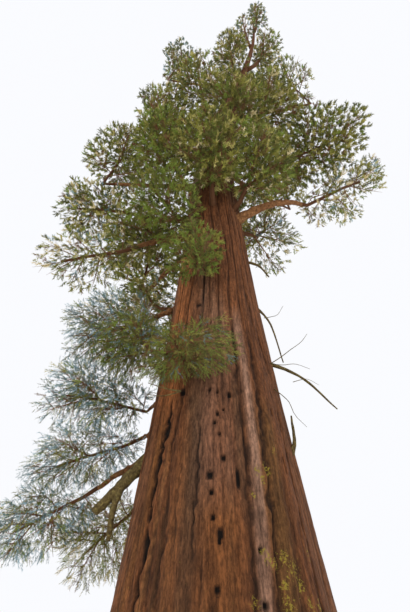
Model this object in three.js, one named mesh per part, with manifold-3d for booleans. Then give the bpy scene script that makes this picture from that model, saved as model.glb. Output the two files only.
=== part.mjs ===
// Giant sequoia seen from its foot, at an even scale of forty metres tall.
// Millimetres, +Z up, origin at the centre of the flat cut at ground level.
// +X is to the right of the view and -Y faces the viewer.

import * as THREE from "three";
import { mergeVertices } from "three/addons/utils/BufferGeometryUtils.js";
import Module from "manifold-3d";

const wasm = await Module();
wasm.setup();

// Driving sizes, lengths in millimetres
const METRE = 1000;
const HEIGHT = 40 * METRE;
const TRUNK_TOP = 39.2 * METRE;
const TAPER_RADIUS = 1504;
const TAPER_POWER = 1.3;
const TOP_SLIM = 0.5;
const TOP_SLIM_FROM = 19000;
const TOP_SLIM_TO = 27000;
const BOLE_SWELL = 655;
const BOLE_SWELL_HEIGHT = 7000;
const FOOT_FLARE = 300;
const FOOT_FLARE_HEIGHT = 550;
const SWAY = 3150;
const SWAY_START = 14 * METRE;
const SWAY_END = 36 * METRE;
const FLUTES = 7;
const FLUTE_DEPTH = 0.04;
const TRUNK_SIDES = 28;
const TRUNK_RINGS = 20;
const GAP = 0.3;
const LIMB_CLEARANCE = 35;
const SPACE_MARGIN = 0.03;
const PLUME_SHARE = 0.62;
const CROWDING = 0.7;
const TWIG_SIZES = [[1, 1], [1, 0.75], [0.85, 0.9], [0.85, 0.65], [0.7, 0.9], [0.7, 0.65], [0.56, 0.9]];
const TWIGS_LEAST = 7;
const TWIGS_MORE = 3.2;
const GOLDEN_ANGLE = 2.399963;
const DEGREE = Math.PI / 180;
const GREY_BELOW = 9;

// Colours and finish
const BARK = { color: 0x8a4f36, roughness: 0.93, metalness: 0 };
const BOUGH_BARK = { color: 0x6e4a38, roughness: 0.92, metalness: 0 };
const DEAD_WOOD = { color: 0x7a6858, roughness: 0.95, metalness: 0 };
const GREEN = { color: 0x4f6b33, roughness: 0.85, metalness: 0 };
const GREY_GREEN = { color: 0x66785c, roughness: 0.85, metalness: 0 };

// Foliage masses, in degrees and metres: at is the bearing, the reach from the
// trunk axis and the height of the middle, and size is how long, wide and deep.
// from is the height of the root on the trunk, with its own bearing where it
// differs, and bough is the radius of the limb where the stem has one.
const MASSES = [
  { name: "spire_left", at: [190, 0.66, 33.4], size: [1.7, 2.2, 6.6], from: 30.6 },
  { name: "spire_right", at: [352, 0.38, 36.9], size: [1.7, 2, 6.2], from: 33.8 },
  { name: "leader_right", at: [2, 0.95, 30.2], size: [2.3, 2.8, 6.8], from: 27 },
  { name: "leader_left", at: [196, 1.2, 28.6], size: [2.6, 2.9, 7], from: 25.2 },
  { name: "left_crest", at: [176, 4.3, 29.1], size: [2.6, 3, 6.6], from: 24.8, bough: 0.085 },
  { name: "crown_left", at: [206, 2, 22.8], size: [3, 3.6, 5.4], from: 20 },
  { name: "left_shoulder", at: [182, 2.95, 20.8], size: [3.6, 3.6, 5.8], from: 17.8, bough: 0.09 },
  { name: "crown_front", at: [290, 2.1, 18], size: [3, 3.9, 4.9], from: 15.8 },
  { name: "crown_right", at: [330, 2.5, 19.5], size: [3.3, 3.6, 5.2], from: 16.8 },
  { name: "right_high", at: [354, 2.9, 24.2], size: [3, 3.3, 5.8], from: 20.8, bough: 0.085 },
  { name: "right_upper", at: [352, 4.4, 17.1], size: [5.4, 3.8, 4.2], from: 14.6, bough: 0.12 },
  { name: "right_tip", at: [4, 5.3, 15.5], size: [4.9, 3.3, 2.9], from: 12.4, fromBearing: 332, bough: 0.15 },
  { name: "right_low", at: [34, 2.8, 13.8], size: [3.3, 3.4, 3.6], from: 13.2 },
  { name: "front_right", at: [318, 2.2, 14.6], size: [3, 3.3, 4.6], from: 12.6 },
  { name: "front", at: [266, 2.15, 14.4], size: [3, 3.6, 4.6], from: 12.4 },
  { name: "front_left", at: [221, 2.15, 12], size: [3, 2.9, 2.8], from: 11, fromBearing: 232 },
  { name: "left_high", at: [180, 4.1, 17.2], size: [3.6, 3.5, 4.2], from: 15, bough: 0.11 },
  { name: "left_high_front", at: [216, 2.5, 15.7], size: [3.1, 3.2, 4.6], from: 13.6 },
  { name: "left_over", at: [170, 4.9, 14.7], size: [3.5, 3.3, 3.4], from: 13.1, bough: 0.12 },
  { name: "left_long", at: [184, 4.2, 10.7], size: [3.6, 2.8, 2.3], from: 12, bough: 0.13 },
  { name: "left_inner", at: [174, 2.8, 12.6], size: [3, 3.1, 3.4], from: 12.2 },
  { name: "left_behind", at: [146, 3, 10.2], size: [3, 3, 3.2], from: 9.4 },
  { name: "left_mid", at: [186, 2.95, 7.7], size: [3, 2.6, 2.7], from: 8.7, bough: 0.12 },
  { name: "left_mid_front", at: [208, 2.4, 6.6], size: [2.4, 2.3, 2.5], from: 7 },
  { name: "left_low", at: [186, 3.05, 5.6], size: [3.1, 2.3, 2.2], from: 5.4, fromBearing: 226, bough: 0.08 },
  { name: "left_foot", at: [179, 3.15, 4.3], size: [3, 2.3, 1.9], from: 5, bough: 0.08 },
  { name: "left_skirt", at: [176, 3.85, 3.1], size: [2.7, 2.3, 1.8], from: 4.5, fromBearing: 170, bough: 0.09 },
  { name: "left_skirt_back", at: [142, 3.7, 3.1], size: [2.9, 2.6, 2.3], from: 4.4, bough: 0.09 },
  { name: "drape", at: [248, 2.25, 5.8], size: [1.6, 3.4, 1.4], from: 5.5, fromBearing: 240 },
  { name: "front_clump", at: [250, 1.85, 9.4], size: [1.4, 2.1, 3], from: 8.3 },
  { name: "back_low", at: [106, 3.3, 9.8], size: [3.6, 3.8, 3.8], from: 8.6, bough: 0.1 },
  { name: "back_left", at: [134, 3.9, 14.1], size: [4, 4.6, 4.8], from: 12.2, bough: 0.12 },
  { name: "back_mid", at: [86, 3.2, 17.2], size: [3.8, 5, 5.8], from: 14.2, bough: 0.11 },
  { name: "back_right", at: [42, 3.4, 20.2], size: [3.8, 4.8, 6.6], from: 16.8, bough: 0.1 },
  { name: "back_high", at: [114, 2.8, 23.4], size: [3.6, 5.2, 7], from: 19.4, bough: 0.09 },
  { name: "back_crown", at: [92, 1.95, 28.2], size: [3.2, 4.2, 8], from: 24.4 },
];

// Dead limbs: each a run of steps outward from the trunk, as
// [distance from the axis, height, bearing], with end radii, all in metres and degrees
const DEAD_LIMBS = [
  {
    name: "dead_fork",
    steps: [[1.3, 4.5, 186], [1.9, 3.84, 190], [2.26, 3.4, 191], [2.6, 3, 192]],
    radii: [0.15, 0.085],
    prong: { steps: [[2.12, 3.58, 190], [2.25, 3.02, 195], [2.27, 2.47, 198]], radii: [0.085, 0.045] },
  },
  { name: "dead_stub", steps: [[0.8, 10.7, 352], [1.4, 10.4, 352], [1.7, 9.9, 354]], radii: [0.05, 0.022] },
  { name: "dead_switch", steps: [[1, 8.9, 350], [1.5, 8.1, 350], [1.76, 6.7, 352]], radii: [0.042, 0.015] },
  { name: "dead_arm", steps: [[1.2, 6.7, 345], [2.1, 6.15, 347], [2.85, 5.25, 350]], radii: [0.05, 0.017] },
  { name: "dead_splinter", steps: [[1.5, 3.95, 345], [1.73, 4.4, 345], [1.76, 5.1, 345]], radii: [0.07, 0.02] },
];

// A repeatable stream of numbers from 0 to 1
function seeded(seed) {
  let state = seed;
  return () => {
    state = (state * 1664525 + 1013904223) % 4294967296;
    return state / 4294967296;
  };
}

// Trunk line and size at a height
function swayAt(z) {
  const t = Math.min(Math.max((z - SWAY_START) / (SWAY_END - SWAY_START), 0), 1);
  return (SWAY * (1 - Math.cos(Math.PI * t))) / 2;
}

function axisAt(z) {
  return new THREE.Vector3(swayAt(z), 0, z);
}

function trunkRadius(z) {
  const t = Math.min(Math.max((z - TOP_SLIM_FROM) / (TOP_SLIM_TO - TOP_SLIM_FROM), 0), 1);
  const slim = 1 - TOP_SLIM * t * t * (3 - 2 * t);
  const taper = TAPER_RADIUS * slim * Math.pow(Math.max(1 - z / HEIGHT, 0), TAPER_POWER);
  const swell = BOLE_SWELL * Math.exp(-Math.pow(z / BOLE_SWELL_HEIGHT, 1.5));
  const foot = FOOT_FLARE * Math.exp(-z / FOOT_FLARE_HEIGHT);
  return taper + swell + foot;
}

function flute(z, angle) {
  const fade = Math.exp(-z / (9 * METRE));
  const wave = Math.cos(FLUTES * angle + 0.6 * Math.sin(angle) + z / (6 * METRE));
  return 1 + FLUTE_DEPTH * fade * (wave - 0.4);
}

// Heading from the axis at a bearing
function outward(bearing) {
  return new THREE.Vector3(Math.cos(bearing * DEGREE), Math.sin(bearing * DEGREE), 0);
}

function placeAt(reach, height, bearing) {
  return axisAt(height).addScaledVector(outward(bearing), reach);
}

// Closed skin over a stack of rings with flat fans at both ends
function skinRings(rings) {
  const sides = rings[0].length;
  const positions = [];
  const index = [];
  for (const ring of rings) {
    for (const point of ring) {
      positions.push(point.x, point.y, point.z);
    }
  }
  for (let r = 0; r + 1 < rings.length; r++) {
    for (let s = 0; s < sides; s++) {
      const a = r * sides + s;
      const b = r * sides + ((s + 1) % sides);
      index.push(a, b, b + sides, a, b + sides, a + sides);
    }
  }
  const last = (rings.length - 1) * sides;
  for (let s = 1; s + 1 < sides; s++) {
    index.push(0, s + 1, s, last, last + s, last + s + 1);
  }
  const geometry = new THREE.BufferGeometry();
  geometry.setAttribute("position", new THREE.Float32BufferAttribute(positions, 3));
  geometry.setIndex(index);
  return geometry;
}

// Trunk skin, grown outward by an even allowance
function trunkGeometry(grow) {
  const rings = [];
  for (let r = 0; r <= TRUNK_RINGS; r++) {
    const z = TRUNK_TOP * Math.pow(r / TRUNK_RINGS, 1.25);
    const ring = [];
    for (let s = 0; s < TRUNK_SIDES; s++) {
      const angle = (2 * Math.PI * s) / TRUNK_SIDES;
      const radius = trunkRadius(z) * flute(z, angle) + grow;
      ring.push(new THREE.Vector3(swayAt(z) + radius * Math.cos(angle), radius * Math.sin(angle), z));
    }
    rings.push(ring);
  }
  return skinRings(rings);
}

// Tapering limb along a row of points
function limbGeometry(points, radii, sides) {
  const rings = [];
  let normal = null;
  for (let i = 0; i < points.length; i++) {
    const before = points[Math.max(i - 1, 0)];
    const after = points[Math.min(i + 1, points.length - 1)];
    const tangent = after.clone().sub(before).normalize();
    if (!normal) {
      normal = new THREE.Vector3(0, 0, 1);
      if (Math.abs(tangent.z) > 0.9) {
        normal.set(1, 0, 0);
      }
    }
    normal.addScaledVector(tangent, -normal.dot(tangent)).normalize();
    const other = tangent.clone().cross(normal);
    const ring = [];
    for (let s = 0; s < sides; s++) {
      const angle = (2 * Math.PI * s) / sides;
      const point = points[i].clone();
      point.addScaledVector(normal, radii[i] * Math.cos(angle));
      point.addScaledVector(other, radii[i] * Math.sin(angle));
      ring.push(point);
    }
    rings.push(ring);
  }
  return skinRings(rings);
}

// Leafy twig: a plume of needles that opens from a foot sunk in the stem
// to two rings of teeth and a tip. Each ring is its share of the length,
// its share of the girth and its turn.
const PLUME_RINGS = [[0.5, 1, 0], [0.76, 0.7, Math.PI / 3]];

function spotOn(twig, x, radius, turn) {
  const across = twig.face.clone().cross(twig.along);
  const point = twig.root.clone().addScaledVector(twig.along, x);
  point.addScaledVector(across, radius * Math.cos(turn));
  return point.addScaledVector(twig.face, radius * Math.sin(turn));
}

function plumePoints(twig) {
  const points = [];
  for (const [share, size, turn] of PLUME_RINGS) {
    for (let i = 0; i < 3; i++) {
      points.push(spotOn(twig, share * twig.length, size * twig.girth, turn + (i * 2 * Math.PI) / 3));
    }
  }
  points.push(spotOn(twig, twig.length, 0, 0));
  return points;
}

function leafyTwigGeometry(twig) {
  const points = [twig.root, ...plumePoints(twig)];
  const index = [];
  for (let i = 0; i < 3; i++) {
    const j = (i + 1) % 3;
    index.push(0, 1 + j, 1 + i);
    index.push(1 + i, 1 + j, 4 + i, 1 + j, 4 + j, 4 + i);
    index.push(4 + i, 4 + j, 7);
  }
  const geometry = new THREE.BufferGeometry();
  const values = points.flatMap((point) => point.toArray());
  geometry.setAttribute("position", new THREE.Float32BufferAttribute(values, 3));
  geometry.setIndex(index);
  return geometry;
}

// Solid from a closed skin, turned right side out
function toSolid(geometry) {
  geometry.deleteAttribute("normal");
  geometry.deleteAttribute("uv");
  const merged = mergeVertices(geometry, 0.01);
  const vertProperties = new Float32Array(merged.attributes.position.array);
  const triVerts = new Uint32Array(merged.index.array);
  const solid = new wasm.Manifold(new wasm.Mesh({ numProp: 3, vertProperties, triVerts }));
  if (solid.volume() > 0) {
    return solid;
  }
  for (let i = 0; i < triVerts.length; i += 3) {
    [triVerts[i], triVerts[i + 1]] = [triVerts[i + 1], triVerts[i]];
  }
  return new wasm.Manifold(new wasm.Mesh({ numProp: 3, vertProperties, triVerts }));
}

// Largest body of a solid, without loose scraps or sealed hollows
function mainBody(solid) {
  let best = null;
  for (const body of solid.decompose()) {
    if (!best || body.volume() > best.volume()) {
      best = body;
    }
  }
  return best;
}

function toMesh(name, solid, finish) {
  const out = solid.getMesh();
  const geometry = new THREE.BufferGeometry();
  geometry.setAttribute("position", new THREE.Float32BufferAttribute(out.vertProperties, 3));
  geometry.setIndex(Array.from(out.triVerts));
  geometry.computeVertexNormals();
  const mesh = new THREE.Mesh(geometry, new THREE.MeshStandardMaterial(finish));
  mesh.name = name;
  mesh.material.name = name;
  return mesh;
}

// Place, main line and half sizes of a mass
function massFrame(row) {
  const [bearing, reach, height] = row.at;
  const out = outward(bearing);
  const centre = placeAt(reach * METRE, height * METRE, bearing);
  const rootOut = outward(row.fromBearing ?? bearing);
  const rootHeight = row.from * METRE;
  const root = axisAt(rootHeight).addScaledVector(rootOut, 0.7 * trunkRadius(rootHeight));
  const upright = row.size[2] > row.size[0];
  const run = centre.clone().sub(root);
  const rise = Math.min(Math.max(Math.atan2(run.z, Math.hypot(run.x, run.y)), -0.5), 0.6);
  const tilt = upright ? 0 : rise;
  const up = out.clone().multiplyScalar(-Math.sin(tilt)).add(new THREE.Vector3(0, 0, Math.cos(tilt)));
  const flat = out.clone().multiplyScalar(Math.cos(tilt)).add(new THREE.Vector3(0, 0, Math.sin(tilt)));
  const side = new THREE.Vector3(-out.y, out.x, 0);
  const half = row.size.map((size) => (size * METRE) / 2);
  const frame = upright
    ? { grow: up, side, lift: flat, half: [half[2], half[1], half[0]] }
    : { grow: flat, side, lift: up, half };
  return { ...frame, row, centre, root, rootOut, upright };
}

// How far a point lies from the middle of a mass, where 1 is its edge
function spread(mass, point) {
  const off = point.clone().sub(mass.centre);
  const x = off.dot(mass.grow) / mass.half[0];
  const y = off.dot(mass.side) / mass.half[1];
  const z = off.dot(mass.lift) / mass.half[2];
  return Math.hypot(x, y, z);
}

// Limb line from the trunk to a mass, level at first and then turning up
function boughLine(mass) {
  const entry = mass.centre.clone().addScaledVector(mass.grow, -0.92 * mass.half[0]);
  const reach = entry.distanceTo(mass.root);
  const lead = mass.root.clone().addScaledVector(mass.rootOut, 0.5 * reach);
  lead.z += mass.upright ? 0.05 * reach : 0.25 * (entry.z - mass.root.z);
  return new THREE.QuadraticBezierCurve3(mass.root, lead, entry);
}

function limbRun(curve, pieces, startRadius, endRadius, collar) {
  const points = [];
  const radii = [];
  for (let i = 0; i <= pieces; i++) {
    const t = i / pieces;
    points.push(curve.getPoint(t));
    radii.push(startRadius + (endRadius - startRadius) * t + collar * startRadius * Math.pow(1 - t, 6));
  }
  return { points, radii };
}

// Stem of a mass, from its bough's tip or from inside the trunk
function massStem(mass) {
  const end = mass.centre.clone().addScaledVector(mass.grow, (mass.upright ? 0.6 : 0.45) * mass.half[0]);
  const thick = 0.007 * (mass.half[0] + mass.half[1] + mass.half[2]) + 12;
  if (mass.bough) {
    const line = mass.bough.points;
    const tip = line[line.length - 1];
    const heading = tip.clone().sub(line[line.length - 2]).normalize();
    const start = tip.clone().addScaledVector(heading, GAP);
    const second = start.clone().addScaledVector(heading, 0.25 * mass.half[0]);
    const radii = [1, 0.85, 0.7, 0.55].map((part) => part * mass.boughTip);
    return { points: [start, second, mass.centre, end], radii };
  }
  const curve = new THREE.QuadraticBezierCurve3(mass.root, stemLead(mass), end);
  return limbRun(curve, 4, 2 * thick, 0.8 * thick, 0.3);
}

function stemLead(mass) {
  const lead = mass.centre.clone().addScaledVector(mass.grow, -0.6 * mass.half[0]);
  return lead.lerp(mass.root, 0.2);
}

// Shortest distance between two straight pieces
function pieceDistance(a, b, c, d) {
  const u = b.clone().sub(a);
  const v = d.clone().sub(c);
  const w = a.clone().sub(c);
  const uu = u.dot(u);
  const uv = u.dot(v);
  const vv = v.dot(v);
  const uw = u.dot(w);
  const vw = v.dot(w);
  const across = uu * vv - uv * uv;
  let s = across > 1e-6 * uu * vv ? (uv * vw - vv * uw) / across : 0;
  s = Math.min(Math.max(s, 0), 1);
  let t = (uv * s + vw) / vv;
  t = Math.min(Math.max(t, 0), 1);
  s = Math.min(Math.max((uv * t - uw) / uu, 0), 1);
  const gap = w.addScaledVector(u, s).addScaledVector(v, -t);
  return gap.length();
}

// Straight pieces of every limb, each with its thickest radius and its owner
function limbPieces(points, radii, owner) {
  const pieces = [];
  for (let i = 0; i + 1 < points.length; i++) {
    pieces.push({ a: points[i], b: points[i + 1], radius: Math.max(radii[i], radii[i + 1]), owner });
  }
  return pieces;
}

function clearOfLimbs(a, b, thick, owner, limbs) {
  for (const limb of limbs) {
    if (limb.owner === owner) {
      continue;
    }
    if (pieceDistance(a, b, limb.a, limb.b) < limb.radius + thick + LIMB_CLEARANCE) {
      return false;
    }
  }
  return true;
}

function inOwnSpace(mass, masses, point, edge) {
  const own = spread(mass, point);
  if (own > edge) {
    return false;
  }
  for (const other of masses) {
    if (other !== mass && spread(other, point) < own + SPACE_MARGIN) {
      return false;
    }
  }
  return true;
}

// Far edge of a mass from a point along a heading
function edgeDistance(mass, point, heading) {
  const off = point.clone().sub(mass.centre);
  const p = [off.dot(mass.grow), off.dot(mass.side), off.dot(mass.lift)];
  const d = [heading.dot(mass.grow), heading.dot(mass.side), heading.dot(mass.lift)];
  let a = 0;
  let b = 0;
  let c = -1;
  for (let i = 0; i < 3; i++) {
    const square = mass.half[i] * mass.half[i];
    a += (d[i] * d[i]) / square;
    b += (2 * p[i] * d[i]) / square;
    c += (p[i] * p[i]) / square;
  }
  const root = b * b - 4 * a * c;
  return root > 0 ? (-b + Math.sqrt(root)) / (2 * a) : 0;
}

// Heading of a twig: round the stem by angle and away from it by lean
function twigHeading(mass, angle, lean) {
  const heading = mass.grow.clone().multiplyScalar(Math.cos(lean) * mass.half[0]);
  heading.addScaledVector(mass.side, Math.sin(lean) * Math.cos(angle) * mass.half[1]);
  heading.addScaledVector(mass.lift, Math.sin(lean) * Math.sin(angle) * mass.half[2]);
  return heading.normalize();
}

function faceFor(heading, roll) {
  const level = new THREE.Vector3(0, 0, 1).cross(heading);
  if (level.length() < 0.05) {
    level.set(1, 0, 0);
  }
  level.normalize();
  const lift = heading.clone().cross(level).normalize();
  return lift.multiplyScalar(Math.cos(roll)).addScaledVector(level, Math.sin(roll)).normalize();
}

function twigFits(twig, mass, masses, limbs, grown) {
  if (!plumePoints(twig).every((point) => inOwnSpace(mass, masses, point, 1))) {
    return false;
  }
  const neck = spotOn(twig, 0.25 * twig.length, 0, 0);
  const waist = spotOn(twig, 0.45 * twig.length, 0, 0);
  const brow = spotOn(twig, 0.75 * twig.length, 0, 0);
  const tip = spotOn(twig, twig.length, 0, 0);
  const owner = mass.row.name;
  const clear =
    clearOfLimbs(twig.root, neck, 0.4 * twig.girth, owner, limbs) &&
    clearOfLimbs(neck, waist, twig.girth, owner, limbs) &&
    clearOfLimbs(waist, brow, 0.9 * twig.girth, owner, limbs) &&
    clearOfLimbs(brow, tip, 0.4 * twig.girth, owner, limbs);
  if (!clear) {
    return false;
  }
  return grown.every((other) => {
    const otherWaist = spotOn(other, 0.3 * other.length, 0, 0);
    const otherBrow = spotOn(other, 0.85 * other.length, 0, 0);
    return pieceDistance(waist, brow, otherWaist, otherBrow) > CROWDING * (twig.girth + other.girth);
  });
}

// The largest leafy twig along a heading that keeps to its own space
function fitTwig(from, heading, radius, roll, mass, masses, limbs, grown) {
  const root = from.clone().addScaledVector(heading, -0.5 * radius);
  const edge = edgeDistance(mass, root, heading) * 0.995;
  for (const [size, slim] of TWIG_SIZES) {
    const length = Math.min(edge, mass.span) * size;
    const girth = Math.min(0.31 * length, 0.26 * mass.span) * slim;
    const twig = { root, along: heading, face: faceFor(heading, roll), length, girth };
    if (twigFits(twig, mass, masses, limbs, grown)) {
      return twig;
    }
  }
  return null;
}

// Point on a stem at a share of its pieces
function stemPoint(stem, t) {
  const x = t * (stem.points.length - 1);
  const i = Math.min(Math.floor(x), stem.points.length - 2);
  return stem.points[i].clone().lerp(stem.points[i + 1], x - i);
}

// Leafy twigs of one mass, branching from its stem
function growMass(mass, masses, limbs, seed) {
  const random = seeded(seed);
  const size = Math.cbrt(8 * mass.half[0] * mass.half[1] * mass.half[2]);
  mass.span = PLUME_SHARE * size;
  const count = Math.round(TWIGS_LEAST + TWIGS_MORE * Math.min(size / METRE, 3.2));
  const thick = mass.stem.radii;
  const grown = [];
  const turn = random() * 2 * Math.PI;
  const first = mass.bough ? 0.2 : 0.4;
  for (let i = 0; i < count; i++) {
    const share = i / (count - 1);
    const t = first + (0.94 - first) * share;
    const angle = turn + i * GOLDEN_ANGLE + 0.5 * (random() - 0.5);
    const lean = 1.9 - 1.35 * share + 0.3 * (random() - 0.5);
    const roll = random() * Math.PI;
    const heading = twigHeading(mass, angle, lean);
    const radius = 0.62 * (thick[0] + (thick[thick.length - 1] - thick[0]) * t);
    const twig = fitTwig(stemPoint(mass.stem, t), heading, radius, roll, mass, masses, limbs, grown);
    if (twig) {
      grown.push(twig);
    }
  }
  const points = mass.stem.points;
  const tip = points[points.length - 1];
  const heading = tip.clone().sub(points[points.length - 2]).normalize();
  const radius = 0.8 * thick[thick.length - 1];
  const from = tip.clone().addScaledVector(heading, -2 * radius);
  const twig = fitTwig(from, heading, radius, 0.3, mass, masses, limbs, grown);
  if (twig) {
    grown.push(twig);
  }
  return grown;
}

// Build

const tree = new THREE.Group();
tree.name = "giant_sequoia";

const masses = MASSES.map(massFrame);
const limbs = [];
const trunkLine = [];
const trunkRadii = [];
for (let i = 0; i <= 60; i++) {
  const z = (TRUNK_TOP * i) / 60;
  trunkLine.push(axisAt(z));
  trunkRadii.push(trunkRadius(z) * (1 + FLUTE_DEPTH * Math.exp(-z / (9 * METRE))));
}
limbs.push(...limbPieces(trunkLine, trunkRadii, "trunk"));

for (const mass of masses) {
  if (mass.row.bough) {
    const base = mass.row.bough * METRE;
    mass.boughTip = Math.max(0.55 * base, 45);
    mass.bough = limbRun(boughLine(mass), 5, base, mass.boughTip, 0.6);
    limbs.push(...limbPieces(mass.bough.points, mass.bough.radii, "bough"));
  }
}
for (const mass of masses) {
  mass.stem = massStem(mass);
  limbs.push(...limbPieces(mass.stem.points, mass.stem.radii, mass.row.name));
}

const deadRuns = DEAD_LIMBS.map((row) => {
  const runs = [row, row.prong].filter(Boolean).map((limb) => {
    const curve = new THREE.CatmullRomCurve3(limb.steps.map(([r, z, b]) => placeAt(r * METRE, z * METRE, b)));
    return limbRun(curve, 5, limb.radii[0] * METRE, limb.radii[1] * METRE, 0.2);
  });
  return { name: row.name, runs };
});
for (const limb of deadRuns) {
  for (const run of limb.runs) {
    limbs.push(...limbPieces(run.points, run.radii, limb.name));
  }
}

const grownTrunk = toSolid(trunkGeometry(GAP));
tree.add(toMesh("trunk", toSolid(trunkGeometry(0)), BARK));

for (const mass of masses) {
  if (mass.bough) {
    const limb = toSolid(limbGeometry(mass.bough.points, mass.bough.radii, 5));
    tree.add(toMesh(`bough_${mass.row.name}`, mainBody(limb.subtract(grownTrunk)), BOUGH_BARK));
  }
}

for (const limb of deadRuns) {
  let solid = toSolid(limbGeometry(limb.runs[0].points, limb.runs[0].radii, 6));
  for (const run of limb.runs.slice(1)) {
    solid = solid.add(toSolid(limbGeometry(run.points, run.radii, 6)));
  }
  tree.add(toMesh(limb.name, mainBody(solid.subtract(grownTrunk)), DEAD_WOOD));
}

masses.forEach((mass, number) => {
  const twigs = growMass(mass, masses, limbs, 1000 + 37 * number);
  let solid = toSolid(limbGeometry(mass.stem.points, mass.stem.radii, 3));
  for (const twig of twigs) {
    solid = solid.add(toSolid(leafyTwigGeometry(twig)));
  }
  if (!mass.bough) {
    solid = solid.subtract(grownTrunk);
  }
  const finish = mass.row.at[2] < GREY_BELOW ? GREY_GREEN : GREEN;
  tree.add(toMesh(`foliage_${mass.row.name}`, mainBody(solid), finish));
});

export default tree;
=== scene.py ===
"""Giant sequoia seen from its foot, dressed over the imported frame.

Metres, +Z up, origin at the centre of the flat cut at ground level.
"""

import math

import bpy
import numpy as np
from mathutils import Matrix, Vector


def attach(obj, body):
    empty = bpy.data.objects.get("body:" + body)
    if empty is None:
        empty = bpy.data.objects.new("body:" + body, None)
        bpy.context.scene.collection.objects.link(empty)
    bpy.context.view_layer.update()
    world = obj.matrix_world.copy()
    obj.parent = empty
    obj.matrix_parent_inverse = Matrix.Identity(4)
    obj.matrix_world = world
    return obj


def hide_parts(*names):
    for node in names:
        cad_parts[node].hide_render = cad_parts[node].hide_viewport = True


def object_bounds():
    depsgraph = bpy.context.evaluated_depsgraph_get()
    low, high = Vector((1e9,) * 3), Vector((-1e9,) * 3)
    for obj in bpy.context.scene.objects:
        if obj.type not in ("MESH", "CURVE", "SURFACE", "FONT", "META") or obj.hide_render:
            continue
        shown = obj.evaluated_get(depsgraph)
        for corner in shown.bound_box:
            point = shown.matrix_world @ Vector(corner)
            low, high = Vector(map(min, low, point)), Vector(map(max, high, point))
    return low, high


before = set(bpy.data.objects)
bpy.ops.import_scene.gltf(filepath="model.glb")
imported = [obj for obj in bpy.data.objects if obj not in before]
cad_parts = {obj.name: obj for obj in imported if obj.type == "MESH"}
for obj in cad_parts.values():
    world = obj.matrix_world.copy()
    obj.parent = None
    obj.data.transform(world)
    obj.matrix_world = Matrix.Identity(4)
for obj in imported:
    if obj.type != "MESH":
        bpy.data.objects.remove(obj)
cad_box = [list(corner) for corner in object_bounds()]

# Trunk sizes in metres
HEIGHT = 40.0
TRUNK_TOP = 39.2
TAPER_RADIUS = 1.504
TAPER_POWER = 1.3
TOP_SLIM = 0.5
TOP_SLIM_FROM = 19.0
TOP_SLIM_TO = 27.0
BOLE_SWELL = 0.655
BOLE_SWELL_HEIGHT = 7.0
FOOT_FLARE = 0.3
FOOT_FLARE_HEIGHT = 0.55
SWAY = 3.15
SWAY_START = 14.0
SWAY_END = 36.0
FLUTES = 7
FLUTE_DEPTH = 0.04

# Growth of the foliage
GAP = 0.0003
LIMB_CLEARANCE = 0.035
SPACE_MARGIN = 0.03
PLUME_SHARE = 0.62
CROWDING = 0.7
TWIG_SIZES = [(1, 1), (1, 0.75), (0.85, 0.9), (0.85, 0.65), (0.7, 0.9), (0.7, 0.65), (0.56, 0.9)]
TWIGS_LEAST = 7
TWIGS_MORE = 3.2
GOLDEN_ANGLE = 2.399963
FINE_CROWDING = 0.36
FINE_SIZES = [(0.62, 1.15), (0.52, 1.15), (0.42, 1.2), (0.34, 1.2)]
FINE_TRIES = 60
TUFT_TRIES = 5000
FILL_REACH = 1.6
RISE = 0.35
DROOP = 0.45
STRAY_TINTS = 0.35
SHADED_TINTS = 0.6
SHADE_TINT = 2
PAST_BOX = 0.02

# Tufts of each zone, or of one mass: room for one, shoots in it, length of a shoot, needles
# on a shoot, length of a needle, its slimness, the share of the room between twigs that is
# filled, and how ragged it is
TUFTS = {
    "crest": (0.3, 4, 0.15, 10, 0.11, 1, 0.4, 0.5),
    "crown": (0.33, 3, 0.2, 15, 0.115, 1, 0.75, 0.38),
    "right": (0.32, 3, 0.2, 14, 0.115, 1, 0.5, 0.42),
    "front": (0.29, 3, 0.18, 13, 0.115, 1, 0.7, 0.3),
    "left": (0.28, 3, 0.19, 14, 0.1, 1, 0.4, 0.42),
    "low": (0.2, 4, 0.23, 18, 0.054, 0.85, 0.45, 0.4),
    "foot": (0.21, 4, 0.24, 18, 0.052, 0.75, 0.45, 0.45),
    "back": (0.4, 3, 0.22, 11, 0.17, 1, 0.5, 0.35),
    "drape": (0.17, 4, 0.2, 18, 0.045, 0.85, 0.8, 0.55),
    "front_clump": (0.21, 3, 0.15, 17, 0.08, 0.9, 0.9, 0.4),
    "left_mid_front": (0.18, 4, 0.2, 18, 0.05, 0.85, 0.9, 0.3),
    "front_left": (0.24, 3, 0.16, 17, 0.09, 0.9, 0.9, 0.25),
    "left_long": (0.3, 3, 0.22, 13, 0.09, 1, 0.08, 0.6),
    "right_low": (0.31, 3, 0.22, 13, 0.09, 1, 0.08, 0.6),
    "right_upper": (0.31, 3, 0.17, 14, 0.115, 1, 0.8, 0.3),
    "right_tip": (0.31, 3, 0.22, 13, 0.1, 1, 0.15, 0.55),
    "left_behind": (0.29, 3, 0.2, 14, 0.095, 1, 0.1, 0.6),
    "left_mid": (0.2, 4, 0.23, 18, 0.054, 0.85, 0.2, 0.5),
    "right_high": (0.33, 3, 0.2, 12, 0.105, 1, 0.05, 0.6),
    "left_crest": (0.29, 4, 0.15, 10, 0.1, 1, 0.15, 0.55),
}
DROOPING_ZONES = ("low", "foot")
RISING_ZONES = ("crest", "crown", "right")

# Camera that the tree is seen from
CAMERA_SPOT = (-0.326, -9.46, 0.914)
CAMERA_PITCH = 40.0
CAMERA_LENS = 24.0
CAMERA_SENSOR = 36.0
PICTURE = (410, 612)

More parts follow.
